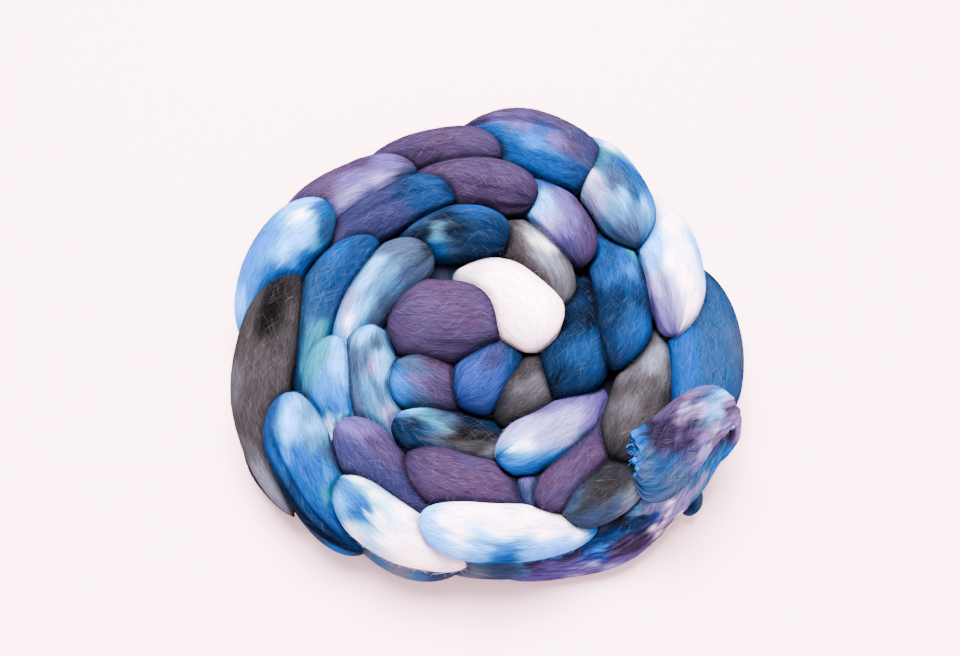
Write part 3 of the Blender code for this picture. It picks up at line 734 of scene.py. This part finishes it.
def woolFinish():
    material, nodes, links, shader = plainFinish("combed wool")

    def feed(socket, value):
        if isinstance(value, bpy.types.NodeSocket):
            links.new(value, socket)
        elif value is not None:
            socket.default_value = value

    def attribute(key, output):
        node = nodes.new("ShaderNodeAttribute")
        node.attribute_name = key
        return node.outputs[output]

    def maths(operation, first, second, third=None, clamp=False):
        node = nodes.new("ShaderNodeMath")
        node.operation = operation
        node.use_clamp = clamp
        for socket, value in zip(node.inputs, (first, second, third)):
            feed(socket, value)
        return node.outputs[0]

    def streaks(along, around, seed, alongPace, aroundPace, detail):
        # Noise drawn out along the fibres.
        spot = nodes.new("ShaderNodeCombineXYZ")
        feed(spot.inputs[0], maths("MULTIPLY", along, alongPace))
        feed(spot.inputs[1], maths("MULTIPLY", around, aroundPace))
        feed(spot.inputs[2], seed)
        noise = nodes.new("ShaderNodeTexNoise")
        noise.inputs["Scale"].default_value = 1.0
        noise.inputs["Detail"].default_value = detail
        noise.inputs["Roughness"].default_value = 0.6
        feed(noise.inputs["Vector"], spot.outputs[0])
        return noise.outputs["Fac"]

    def ranged(value, fromRange, toMin, toMax):
        node = nodes.new("ShaderNodeMapRange")
        feed(node.inputs["Value"], value)
        node.inputs["From Min"].default_value, node.inputs["From Max"].default_value = fromRange
        node.inputs["To Min"].default_value = toMin
        node.inputs["To Max"].default_value = toMax
        return node.outputs["Result"]

    def mixed(factor, first, second, blend="MIX"):
        node = nodes.new("ShaderNodeMix")
        node.data_type = "RGBA"
        node.blend_type = blend
        feed(node.inputs["Factor"], factor)
        feed(node.inputs[6], first)
        feed(node.inputs[7], second)
        return node.outputs[2]

    place = nodes.new("ShaderNodeSeparateXYZ")
    feed(place.inputs[0], attribute("strandPlace", "Vector"))
    along, around, seed = place.outputs
    wander = streaks(along, around, seed, *finish["wander"])
    around = maths("ADD", around, maths("MULTIPLY", maths("SUBTRACT", wander, 0.5), finish["wanderMm"]))
    fine = streaks(along, around, seed, *finish["fine"])
    bundles = streaks(along, around, seed, *finish["bundles"])
    hairs = streaks(along, around, seed, *finish["hairs"])

    # Fibre by fibre, one soaking of the dyes or the other, each with its painted shade and light already in
    # it.
    contrast = finish["streakContrast"] / 2
    choice = maths("MULTIPLY_ADD", maths("ADD", fine, bundles), contrast, 0.5 - contrast, clamp=True)
    dyeAndShade = mixed(choice, attribute("dyeAndShadeNear", "Color"), attribute("dyeAndShadeFar", "Color"))
    lit = maths("ADD", maths("MULTIPLY", hairs, 0.55), maths("MULTIPLY", fine, 0.45))
    tone = ranged(lit, finish["toneRange"], finish["darkFibre"], finish["lightFibre"])
    shade = mixed(1.0, dyeAndShade, tone, "MULTIPLY")

    # Stray fibres that cross the strand at a slant, as fine paler lines: real fibres with a painted
    # highlight on them.
    slanted = maths("ADD", maths("MULTIPLY", around, 0.8), maths("MULTIPLY", along, 0.6))
    crossed = maths("SUBTRACT", maths("MULTIPLY", around, 0.8), maths("MULTIPLY", along, 0.6))
    stray = maths("MAXIMUM", streaks(crossed, slanted, seed, *finish["strays"]),
                  streaks(slanted, crossed, seed, *finish["strays"]))
    bright = ranged(stray, finish["strayRange"], 0.0, finish["frizzHighlight"])
    paler = mixed(finish["frizzPaler"], shade, finish["frizzColour"])
    feed(shader.inputs["Base Color"], mixed(bright, shade, paler))

    relieved = maths("ADD", maths("MULTIPLY", fine, 0.5),
                     maths("ADD", maths("MULTIPLY", bundles, 0.7), maths("MULTIPLY", hairs, 0.2)))
    raised = nodes.new("ShaderNodeBump")
    raised.inputs["Strength"].default_value = finish["bumpStrength"]
    raised.inputs["Distance"].default_value = finish["bumpMm"] * mm
    feed(raised.inputs["Height"], relieved)
    feed(shader.inputs["Normal"], raised.outputs["Normal"])
    return material


def settle(piece, slotName, material, *nodes):
    piece.data.materials.append(material)
    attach(piece, "root")
    if nodes:
        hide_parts(*nodes)
    return piece


combedWool = woolFinish()
turns = (outerTurn, middleTurn, innerTurn, heart)
upperByTurn = [makeLobes(turn, False) for turn in turns]
upperSkins = [skin for skins in upperByTurn for skin in skins]
lowerSkins = [skin for turn in turns for skin in makeLobes(turn, True)]
for skins in (upperSkins, lowerSkins):
    for skin in skins:
        nestle(skin, skins, relief["tuckMm"])
print("lobes drawn together", len(upperSkins) + len(lowerSkins))
for turn, skins in zip(turns, upperByTurn):
    settle(meshFromSkins(turn["name"], skins), "dyed_wool", combedWool, "chain")
    print("lobes of the", turn["name"], len(skins))
settle(meshFromSkins("under_lobes", lowerSkins), "dyed_wool", combedWool, "chain")
print("lobes of the underside", len(lowerSkins))

# The pressed-together wool behind the lobes.
core = {
    "radiusMm": 84.0,
    "bottomMm": 5.0,
    "topMm": 29.0,
    "rim": 0.82,  # its radius at the top and bottom as a share of the full one
    "count": 26,
    # painted shade over the core's dyes, as it shows only deep between the lobes
    "shade": 0.55,
    "seed": 9001,
    "dabs": "slate .1 0 | charcoal .3 .4 | indigo .5 -.3 | darkTaupe .7 .2 | navy .9 0",
}


def makeCore():
    # A flat cake, modelled as a short strand with an upright axis.
    count = core["count"]
    share = np.linspace(0, 1, count)
    heights = core["bottomMm"] + (core["topMm"] - core["bottomMm"]) * share
    points = np.column_stack((np.zeros(count), np.zeros(count), heights * mm))
    radius = core["radiusMm"] * mm * (core["rim"] + (1 - core["rim"]) * np.sin(np.pi * share) ** 0.5)
    sides = np.tile((1.0, 0.0, 0.0), (count, 1))
    ups = np.tile((0.0, -1.0, 0.0), (count, 1))
    skin = skinOf(points, sides, ups, radius, radius, share, core["seed"], "", relief["aroundCount"])
    nestle(dyeSkin(skin, readDabs(core["dabs"])), [], 0)
    # Painted shade: the core is darkened, as it lies deep in the hollows between the lobes.
    skin["crease"] = skin["crease"] * core["shade"]
    return skin


settle(meshFromSkins("inner_wool", [makeCore()]), "dyed_wool", combedWool, "chain")
print("inner wool")

# The loose end of the strand: stations in millimetres from the middle of the winding.
looseEnd = {
    "columns": ("xMm", "yMm", "zMm", "wideMm", "thickMm", "edgeDeg", "dropDeg"),
    "stations": (
        (15, -88, 13, 16, 9, -80, 52),
        (38, -87.3, 13.5, 20, 10, -76, 58),
        (54.5, -84.5, 14.5, 23, 10, -68, 62),
        (71, -78.5, 18, 26, 11, -60, 64),
        (84.5, -69.5, 22, 28, 11, -52, 66),
        (94.5, -58, 29, 29, 11, -48, 62),
        (100.5, -47, 37, 27, 11, -50, 50),
        (107.5, -39, 44, 24, 10, -56, 24),
        (109.8, -35.1, 50, 19, 10, -58, 6),
        (105.3, -37.2, 53.2, 21, 9.5, -60, 6),
        (95.9, -43.6, 54, 24, 9, -63, 6),
        (86.3, -53, 52, 28, 8.5, -65, 8),
        (78.9, -58.4, 48.8, 30, 7.5, -71, 11),
        (74.4, -58.1, 47, 20, 5, -70, 10),
    ),
    "pointsPerStation": 14,
    "pleatMm": 0.6,
    "pleatEveryMm": 3.2,
    # how strongly the pleats are painted lighter on their tops and darker in their folds, as painted light
    # and shade
    "pleatDark": 0.3,
    "crossPleat": 0.6,  # the height of a second set of pleats, over that of the first
    "crimpMm": 1.3,
    "crimpEveryMm": 3.1,
    "crimpDriftMm": (15, 8),
    "lumpiness": 1.3,
    "looseFrom": 0.35,  # share of its length up to which it is combed flat
    "looseOver": 0.2,
    "tightAt": 0.615,  # it is drawn tight where it turns over
    "tightOver": 0.06,
    "tightness": 0.85,
    "flatWidth": 0.036,
    "flatLength": 0.17,
    "seed": 501,
    "softMm": 1.2,  # how softly the dyes run into one another
    "runMm": (0.5, 2.0),
    "dabs": "mauve 0 0 | mauve .08 -.4 | lilac .1 .4 | lilac .15 -.2 | lilac .15 .5 | lilac .15 .9"
            " | mauve .2 -.6 | lilac .2 -.2 | lilac .2 .2 | paleLilac .2 .7 | periwinkle .25 -.6"
            " | periwinkle .25 -.3 | paleLilac .25 .1 | lilac .25 .7 | sky .275 -.45 | periwinkle .275 0"
            " | paleLilac .275 .6 | slate .3 -1 | royal .3 -.65 | indigo .3 -.35 | plum .3 0"
            " | lilac .3 .4 | paleLilac .3 .8 | royal .325 -.75 | deepPlum .325 -.35 | deepPlum .325 0"
            " | lilac .325 .6 | charcoal .35 -1 | navy .35 -.65 | deepPlum .35 -.35 | deepPlum .35 -.05"
            " | mauve .35 .3 | lilac .35 .8 | navy .375 -.75 | navy .375 -.4 | deepPlum .375 -.1"
            " | mauve .375 .25 | lilac .375 .7 | mist .4 -1 | navy .4 -.7 | indigo .395 -.45"
            " | white .4 -.15 | lilac .4 .15 | white .405 .45 | rose .4 .75 | paleLilac .425 -.8"
            " | periwinkle .425 -.5 | lilac .425 -.15 | white .425 .15 | rose .42 .5"
            " | white .43 .8 | mist .45 -1 | paleLilac .45 -.7 | paleLilac .45 -.4 | white .45 -.1"
            " | paleLilac .45 .25 | white .46 .6 | paleLilac .45 .9 | white .475 -.4 | paleLilac .475 0"
            " | paleLilac .475 .45 | periwinkle .5 -.8 | paleLilac .5 -.6 | paleLilac .5 -.3"
            " | paleLilac .5 0 | paleLilac .5 .3"
            " | mist .5 .7 | azure .55 -.9 | white .55 -.6 | paleLilac .55 -.35 | mist .55 0"
            " | paleLilac .55 .3 | mist .55 .7 | indigo .6 -.8 | white .6 -.45 | paleLilac .6 -.3"
            " | sky .6 0"
            " | mist .6 .3 | sky .6 .7 | paleLilac .65 -.4 | paleLilac .65 -.1 | lilac .65 .25"
            " | mist .65 .5 | sky .65 .8 | paleBlue .7 -.2 | paleLilac .7 .1 | lilac .7 .35"
            " | deepPlum .7 .6 | paleLilac .7 .9 | lilac .75 -.9 | sky .75 -.6 | paleBlue .745 -.4"
            " | paleLilac .75 -.15 | rose .745 .1 | darkPlum .758 .27 | plum .762 .38 | rose .75 .6"
            " | paleLilac .75 .9"
            " | lilac .775 -.9 | slate .775 -.6 | mist .775 -.3 | paleBlue .775 0 | paleBlue .775 .3"
            " | lilac .78 .6 | paleLilac .775 .85 | rose .8 -.9 | indigo .8 -.6 | paleLilac .8 -.35"
            " | paleLilac .805 -.05 | mist .8 .25 | paleLilac .8 .6 | rose .8 .9 | mauve .825 -.9"
            " | paleLilac .825 -.6 | rose .825 -.3 | darkPlum .828 -.02 | slate .825 .25"
            " | rose .825 .6 | rose .825 .9 | plum .85 -.9 | mauve .85 -.6 | rose .85 -.3"
            " | darkPlum .85 0 | mauve .85 .3 | lilac .85 .6 | paleLilac .85 .9 | plum .875 -.9"
            " | darkPlum .875 -.6 | darkPlum .875 -.3 | plum .875 0 | darkPlum .875 .3 | plum .875 .6"
            " | paleLilac .875 .9 | darkPlum .9 -.9 | darkPlum .9 -.6 | darkPlum .9 -.3 | darkPlum .9 0"
            " | darkPlum .9 .25 | indigo .9 .5 | lilac .9 .9 | azure .925 -.95 | darkPlum .925 -.6"
            " | darkPlum .92 -.3 | indigo .925 0 | royal .925 .3 | slate .925 .6 | slate .925 .95"
            " | sky .95 -.9 | azure .95 -.6 | slate .95 -.3 | teal .95 0 | royal .95 .3 | slate .95 .6"
            " | slate .95 .9 | sky .98 -.5 | slate .98 .1 | teal .98 .6 | sky 1 0",
}


def spline(values, share):
    # Smooth values between the rows of a table.
    last = len(values) - 1
    whole = np.minimum(np.floor(share * last).astype(int), last - 1)
    part = (share * last - whole)[:, None]
    a, b, c, d = (values[np.clip(whole + k, 0, last)] for k in (-1, 0, 1, 2))
    return 0.5 * (2 * b + (c - a) * part + (2 * a - 5 * b + 4 * c - d) * part ** 2
                  + (3 * b - a - 3 * c + d) * part ** 3)


def pleatsOf(skin):
    # How high the pleats stand at each place from about -1 to 1, how loose they are, and their crimp.
    driftLong, driftWide = looseEnd["crimpDriftMm"]
    drift = ripples(looseEnd["seed"], skin["alongMm"] / driftLong, skin["aroundMm"] / driftWide)
    crimp = looseEnd["crimpMm"] * np.sin(skin["alongMm"] / looseEnd["crimpEveryMm"] + 2 * drift)
    every = looseEnd["pleatEveryMm"]
    pleat = np.sin(2 * math.pi * (skin["aroundMm"] + crimp) / every)
    crossed = np.sin(2 * math.pi * (0.7 * skin["aroundMm"] - crimp) / every + 1)
    pleat = pleat + looseEnd["crossPleat"] * crossed
    loose = np.clip((skin["share"] - looseEnd["looseFrom"]) / looseEnd["looseOver"], 0.5, 1)
    loose = loose * (1 - skin["across"] ** 4)
    tight = np.exp(-((skin["share"] - looseEnd["tightAt"]) / looseEnd["tightOver"]) ** 2)
    return pleat, loose * (1 - looseEnd["tightness"] * tight), crimp


def makeLooseEnd():
    values = np.array(looseEnd["stations"], float)
    count = (len(values) - 1) * looseEnd["pointsPerStation"] + 1
    share = np.linspace(0, 1, count)
    station = dict(zip(looseEnd["columns"], spline(values, share).T))
    middle = np.array((*winding["middleMm"], 0))
    points = (np.column_stack([station[key] for key in ("xMm", "yMm", "zMm")]) + middle) * mm
    edge, drop = np.radians(station["edgeDeg"]), np.radians(station["dropDeg"])
    sides = np.column_stack((np.cos(edge) * np.cos(drop), np.sin(edge) * np.cos(drop), -np.sin(drop)))
    ahead = np.gradient(points, axis=0)
    ups = unit(np.cross(sides, ahead))
    sides = unit(np.cross(ahead, ups))
    ends = np.clip(np.minimum(share / 0.05, (1 - share) / 0.05), 0, 1) ** 0.5
    half = station["wideMm"] * mm / 2 * (0.25 + 0.75 * ends)
    thick = station["thickMm"] * mm / 2 * (0.3 + 0.7 * ends)
    skin = skinOf(points, sides, ups, half, thick, share, looseEnd["seed"], "", relief["aroundCount"])
    # It is flat and dyed right through, so both faces are pleated, dyed and streaked alike.
    reach = np.abs(skin["across"])
    skin["across"] = np.sign(skin["across"]) * np.minimum(reach, 2 - reach)
    skin["aroundMm"] = skin["across"] * skin["widestMm"]
    pleat, loose, crimp = pleatsOf(skin)
    skin["lumps"] = looseEnd["lumpiness"] * skin["lumps"] + looseEnd["pleatMm"] * mm * pleat * loose
    skin["aroundMm"] = skin["aroundMm"] + crimp
    nestle(dyeSkin(skin, readDabs(looseEnd["dabs"]), looseEnd["softMm"], looseEnd["runMm"]), upperSkins, 0)
    # Painted light on the pleats' tops and painted shade in their folds.
    skin["crease"] = skin["crease"] * (1 + looseEnd["pleatDark"] * np.clip(pleat, -1.2, 1.2) * loose)
    return skin


# The frayed tip curls up in fine wisps, and one more wisp curls out of the rim.
wisps = {
    "bundles": {"count": 9, "curlMm": (1.0, 1.8), "turns": (0.4, 0.9), "wideMm": (2.4, 3.4), "around": 12},
    "curls": {"count": 60, "curlMm": (0.4, 1.2), "turns": (1.5, 3.0), "wideMm": (0.3, 0.6), "around": 6},
    "fromMm": ((78.5, -45.5, 51.5), (81, -66, 47)),  # they leave the strand between these two places
    "toMm": ((72.5, -46.5, 50), (75, -64.5, 46)),
    "spread": 0.2,  # how far back some lie on the strand, as a share of their length
    "jitter": 0.04,
    "strayMm": (1.6, 1.6, 1.0),  # how far an end strays each way
    "bulgeMm": 2,  # how far those in the middle reach past the others
    "pointCount": 24,
    "lumpiness": 0.3,
    "dabs": ("azure 0 0 | slate .5 0 | sky 1 0", "teal 0 0 | slate .5 0 | sky 1 0",
             "azure 0 0 | sky .6 0 | azure 1 0", "azure 0 0 | teal .5 0 | slate 1 0"),
    "seed": 601,
    "rimCurlMm": ((98, -55, 20), (101.5, -58, 18), (103, -61, 15), (102.2, -63.5, 11), (99.9, -64.3, 8),
                  (98.4, -63, 8), (99.3, -61.7, 11), (100.8, -61.6, 13)),
    "rimCurlWideMm": 4.4,
    "rimCurlCount": 34,
    "rimCurlDabs": "slate 0 0 | slate .3 0 | teal .6 .5 | slate .8 0 | slate 1 0",
}


def makeWisp(seed, points, wideMm, dabs, around):
    points = (points + np.array((*winding["middleMm"], 0))) * mm
    share = np.linspace(0, 1, len(points))
    sides, ups = levelFrames(points)
    half = wideMm * mm / 2 * np.clip(np.minimum(4 * share + 0.3, 7 * (1 - share) + 0.3), 0, 1)
    skin = skinOf(points, sides, ups, half, half, share, seed, "", around)
    skin["lumps"] = skin["lumps"] * wisps["lumpiness"]
    return nestle(dyeSkin(skin, readDabs(dabs), looseEnd["softMm"], looseEnd["runMm"]), [], 0)


def makeWisps():
    rng = np.random.default_rng(wisps["seed"])
    share = np.linspace(0, 1, wisps["pointCount"])[:, None]
    fromMm, toMm = (np.array(wisps[key], float) for key in ("fromMm", "toMm"))
    made = []
    for kind in (wisps["bundles"], wisps["curls"]):
        for number in range(kind["count"]):
            part = (number + 0.5) / kind["count"] + rng.uniform(-wisps["jitter"], wisps["jitter"])
            start = fromMm[0] + (fromMm[1] - fromMm[0]) * part
            end = toMm[0] + (toMm[1] - toMm[0]) * part + rng.uniform(-1, 1, 3) * wisps["strayMm"]
            end[0] -= wisps["bulgeMm"] * math.sin(math.pi * part)
            back = (start - end) * rng.uniform(0, wisps["spread"])
            start, end = start + back, end + back
            turn = share * rng.uniform(*kind["turns"]) * 2 * math.pi + rng.uniform(0, 2 * math.pi)
            curl = rng.uniform(*kind["curlMm"]) * share ** 0.7
            points = start + (end - start) * share
            points = points + curl * np.hstack((0.5 * np.cos(turn), np.sin(turn), 0.8 * np.cos(turn)))
            dabs = wisps["dabs"][number % len(wisps["dabs"])]
            wideMm = rng.uniform(*kind["wideMm"])
            made.append(makeWisp(wisps["seed"] + len(made), points, wideMm, dabs, kind["around"]))
    rim = spline(np.array(wisps["rimCurlMm"], float), np.linspace(0, 1, wisps["rimCurlCount"]))
    made.append(makeWisp(wisps["seed"] - 1, rim, wisps["rimCurlWideMm"], wisps["rimCurlDabs"], 12))
    return made


looseSkin = makeLooseEnd()
wispSkins = makeWisps()
loosePiece = settle(meshFromSkins("loose_end", [looseSkin] + wispSkins), "dyed_wool_end", combedWool, "tail")
print("loose end")

# Single fibres: some hug the wool, some span the creases between the lobes, and some fly away.
fuzz = {
    "hugging": {"count": 5600, "lengthMm": (6, 15), "liftMm": (0.1, 0.5), "slantDeg": 18, "radiusMm": 0.045,
                "rimsFirst": 0.0},
    # the bridging fibres' shade is a painted shade, as they lie over shaded creases
    "bridging": {"count": 2000, "reachMm": (3, 7), "gapMm": (0.9, 4.0), "bowMm": (0.0, 0.5),
                 "radiusMm": 0.025, "levelMin": 0.3, "strayMm": 0.25, "shade": 0.6},
    "flyaway": {"count": 7600, "lengthMm": (3, 9), "liftMm": (0.4, 2.2), "slantDeg": 55, "radiusMm": 0.029,
                "rimsFirst": 0.8},
    "pointsEach": 5,
    "calmReachMm": 11.0,  # they lie down this close to another lobe
    "bend": 0.5,
    "waveMm": 0.1,
    "clearMm": 0.03,  # the least that they stand off the wool
    "tone": (0.45, 1.1),  # darkest and lightest, over the dye below them
    "paler": 0.004,
}


def sampleGrid(grid, rows, columns):
    # Values between the grid's points; the second side runs round.
    lowRow = np.clip(np.floor(rows).astype(int), 0, grid.shape[0] - 2)
    partRow = np.clip(rows - lowRow, 0, 1)[..., None]
    lowColumn = np.floor(columns).astype(int)
    partColumn = (columns - lowColumn)[..., None]
    a, b = lowColumn % grid.shape[1], (lowColumn + 1) % grid.shape[1]
    near = grid[lowRow, a] * (1 - partColumn) + grid[lowRow, b] * partColumn
    far = grid[lowRow + 1, a] * (1 - partColumn) + grid[lowRow + 1, b] * partColumn
    return near * (1 - partRow) + far * partRow


def uncovered(skin):
    # The grid points of a strand that show from above or from the side.
    return (skin["gap"] > 1.0) & (skin["normals"][..., 2] > -0.25) & (skin["points"][..., 2] > 6 * mm)


def placesOn(skin, kind, count, rng):
    # Where fibres start: anywhere that shows, or sooner near the rims.
    rows, columns = np.nonzero(uncovered(skin))
    steep = np.clip(1 - skin["normals"][rows, columns, 2], 0, 1)
    rim = steep * np.clip(skin["gap"][rows, columns] / 12, 0, 1)
    chance = 1 - kind["rimsFirst"] + kind["rimsFirst"] * rim ** 2
    pick = rng.choice(len(rows), count, p=chance / chance.sum())
    return rows[pick] + rng.uniform(0, 1, count), columns[pick] + rng.uniform(0, 1, count)


def pathOn(skin, kind, rng, row, column):
    # The way that each fibre takes over a strand, as places on its grid.
    count = len(row)
    steps = np.linspace(0, 1, fuzz["pointsEach"])
    length = rng.uniform(*kind["lengthMm"], count)[:, None] / len(steps)
    slant = np.radians(rng.normal(0, kind["slantDeg"], count)) + np.pi * rng.integers(0, 2, count)
    turn = slant[:, None] + rng.normal(0, fuzz["bend"], count)[:, None] * steps
    rowCount, columnCount = skin["across"].shape
    rowsPerMm = rowCount / skin["lengthMm"]
    columnsPerMm = columnCount / (2 * math.pi * skin["widestMm"]) / (1 - relief["topShare"]) * 0.8
    rowPath = row[:, None] + np.cumsum(np.cos(turn), axis=1) * length * rowsPerMm
    columnPath = column[:, None] + np.cumsum(np.sin(turn), axis=1) * length * columnsPerMm
    return np.clip(rowPath, 0.5, rowCount - 1.5), columnPath


def fibreLines(skins, kind, seed):
    rng = np.random.default_rng(seed)
    sizes = np.array([uncovered(skin).sum() for skin in skins], float)
    lines, colours = [], []
    steps = np.linspace(0, 1, fuzz["pointsEach"])
    for skin, share in zip(skins, sizes / sizes.sum()):
        count = int(kind["count"] * share)
        if count == 0:
            continue
        path = pathOn(skin, kind, rng, *placesOn(skin, kind, count, rng))
        base = sampleGrid(skin["points"], *path)
        outward = unit(sampleGrid(skin["normals"], *path))
        gap = sampleGrid(skin["gap"][..., None], *path)[..., 0]
        free = np.clip((gap - 0.5) / fuzz["calmReachMm"], 0.03, 1)
        lift = rng.uniform(*kind["liftMm"], count)[:, None] * steps ** 1.6 * free + fuzz["clearMm"]
        wave = np.sin(steps * rng.uniform(3, 9, count)[:, None] + rng.uniform(0, 6, count)[:, None]) * steps
        lines.append(base + outward * ((lift + wave * fuzz["waveMm"]) * mm)[..., None])
        colours.append(sampleGrid(skin["dyeAndShadeNear"], *path))
    return np.concatenate(lines), np.concatenate(colours)


def bridgingLines(skins, seed):
    # Fibres that span the crease between one lobe and the next, painted darker as shade in the crease.
    kind = fuzz["bridging"]
    rng = np.random.default_rng(seed)
    spots, ways, tints, owners = [], [], [], []
    for number, skin in enumerate(skins):
        near = uncovered(skin) & (skin["gap"] > kind["gapMm"][0]) & (skin["gap"] < kind["gapMm"][1])
        near &= skin["normals"][..., 2] > kind["levelMin"]
        spots.append(skin["points"][near])
        ways.append(skin["normals"][near])
        tints.append(skin["dyeAndShadeNear"][near])
        owners.append(np.full(near.sum(), number))
    spots, ways, tints, owners = (np.concatenate(stack) for stack in (spots, ways, tints, owners))
    lines, colours = [], []
    steps = np.linspace(0, 1, fuzz["pointsEach"])[:, None]
    while len(lines) < kind["count"]:
        first = rng.integers(len(spots))
        apart = np.linalg.norm(spots - spots[first], axis=1) / mm
        inReach = (apart > kind["reachMm"][0]) & (apart < kind["reachMm"][1])
        others = np.nonzero(inReach & (owners != owners[first]))[0]
        if len(others) == 0:
            continue
        second = rng.choice(others)
        bow = np.sin(np.pi * steps) * rng.uniform(*kind["bowMm"]) * mm
        away = unit(ways[first] + ways[second])
        line = spots[first] * (1 - steps) + spots[second] * steps + away * (bow + 0.05 * mm)
        lines.append(line + rng.normal(0, kind["strayMm"], 3) * mm * np.sin(2 * np.pi * steps))
        # Painted shade: these fibres take a darker tint, as they lie over a shaded crease.
        colours.append(np.broadcast_to(kind["shade"] * np.sqrt(tints[first] * tints[second]), line.shape))
    return np.array(lines), np.array(colours)


def meshFromFibres(name, lines, colours, radius, seed):
    # Each fibre is a closed three-sided tube, thinner at its ends.
    count, steps = lines.shape[:2]
    rng = np.random.default_rng(seed)
    lines = lines.copy()
    lines[..., 2] = np.maximum(lines[..., 2], 2 * radius[:, None])
    ahead = unit(np.gradient(lines, axis=1))
    helper = unit(rng.normal(0, 1, (count, 1, 3)))
    side = unit(np.cross(ahead, np.broadcast_to(helper, ahead.shape)))
    up = np.cross(side, ahead)
    thickness = radius[:, None] * (0.25 + 0.75 * np.sin(np.pi * np.linspace(0, 1, steps)) ** 0.5)
    ring = []
    for corner in range(3):
        turn = corner * 2 * math.pi / 3
        ring.append(lines + (side * math.cos(turn) + up * math.sin(turn)) * thickness[..., None])
    points = np.stack(ring, axis=2).reshape(-1, 3)
    fibre = np.arange(count)[:, None, None] * steps * 3
    here = fibre + np.arange(steps - 1)[None, :, None] * 3
    corner = np.arange(3)
    nextCorner = (corner + 1) % 3
    quads = np.stack((here + corner, here + nextCorner, here + 3 + nextCorner, here + 3 + corner), axis=-1)
    starts = fibre[:, 0] + np.array((2, 1, 0))
    ends = fibre[:, 0] + (steps - 1) * 3 + np.array((0, 1, 2))
    mesh = bpy.data.meshes.new(name)
    mesh.from_pydata(points.tolist(), [], quads.reshape(-1, 4).tolist() + starts.tolist() + ends.tolist())
    tone = colours * rng.uniform(*fuzz["tone"], (count, 1, 1))
    tone = tone + fuzz["paler"] * rng.uniform(0, 1, (count, 1, 1))
    storeColours(mesh, "dyeAndShadeNear", np.repeat(np.clip(tone, 0, 0.9).reshape(-1, 3), 3, axis=0))
    return pieceOf(name, mesh)


def fibreFinish():
    material, nodes, links, shader = plainFinish("single fibres")
    colour = nodes.new("ShaderNodeAttribute")
    colour.attribute_name = "dyeAndShadeNear"
    links.new(colour.outputs["Color"], shader.inputs["Base Color"])
    return material


singleFibres = fibreFinish()
allSkins = upperSkins + [looseSkin] + wispSkins
for name, seed in (("hugging", 61), ("flyaway", 62)):
    kind = fuzz[name]
    lines, colours = fibreLines(allSkins, kind, seed)
    radius = np.full(len(lines), kind["radiusMm"] * mm)
    if name == "hugging":
        bridges, tints = bridgingLines(upperSkins, seed + 1)
        lines, colours = np.concatenate((lines, bridges)), np.concatenate((colours, tints))
        radius = np.concatenate((radius, np.full(len(bridges), fuzz["bridging"]["radiusMm"] * mm)))
    settle(meshFromFibres(name + "_fibres", lines, colours, radius, seed), "dyed_wool", singleFibres)
    print(name, "fibres", len(lines))

# The studio: a pale table, soft light, and the camera.
studio = {
    "floorColour": (0.82, 0.48, 0.54),
    "floorRoughness": 0.7,
    "floorReach": 3.0,
    "skyColour": (1.0, 0.985, 0.98),
    "skyStrength": 2.6,
    "keyWatts": 185.0,
    "keyPlace": (-0.06, 0.3, 1.2),
    "keySize": 0.75,
    "fillWatts": 8.0,
    "fillPlace": (0.5, -0.7, 0.8),
    "fillSize": 1.0,
    "lensMm": 50.0,
    "sensorMm": 36.0,
    "elevationDeg": 65.0,
    "distance": 0.570,
    "target": (-0.0028, -0.0001, 0.030),
}


def makeFloor():
    bpy.ops.mesh.primitive_plane_add(size=2 * studio["floorReach"])
    floor = bpy.context.object
    floor.name = "table"
    material = bpy.data.materials.new("pale table")
    material.use_nodes = True
    shader = material.node_tree.nodes["Principled BSDF"]
    shader.inputs["Base Color"].default_value = (*studio["floorColour"], 1)
    shader.inputs["Roughness"].default_value = studio["floorRoughness"]
    floor.data.materials.append(material)


def addSoftbox(name, place, size, watts):
    # A round, soft lamp that faces the coil.
    light = bpy.data.lights.new(name, "AREA")
    light.shape = "DISK"
    light.size = size
    light.energy = watts
    lamp = bpy.data.objects.new(name, light)
    lamp.location = place
    bpy.context.scene.collection.objects.link(lamp)
    x, y, z = np.array(studio["target"]) - np.array(place)
    lamp.rotation_euler = (math.atan2(math.hypot(x, y), -z), 0, math.atan2(x, -y) + math.pi)


makeFloor()
addSoftbox("key light", studio["keyPlace"], studio["keySize"], studio["keyWatts"])
addSoftbox("fill light", studio["fillPlace"], studio["fillSize"], studio["fillWatts"])
world = bpy.data.worlds.new("soft studio")
world.use_nodes = True
sky = world.node_tree.nodes["Background"]
sky.inputs["Color"].default_value = (*studio["skyColour"], 1)
sky.inputs["Strength"].default_value = studio["skyStrength"]
bpy.context.scene.world = world

cameraData = bpy.data.cameras.new("camera")
cameraData.lens = studio["lensMm"]
cameraData.sensor_width = studio["sensorMm"]
camera = bpy.data.objects.new("camera", cameraData)
elevation = math.radians(studio["elevationDeg"])
way = np.array((0, -math.cos(elevation), math.sin(elevation)))
camera.location = np.array(studio["target"]) + studio["distance"] * way
camera.rotation_euler = (math.pi / 2 - elevation, 0, 0)
bpy.context.scene.collection.objects.link(camera)
bpy.context.scene.camera = camera
print("studio")
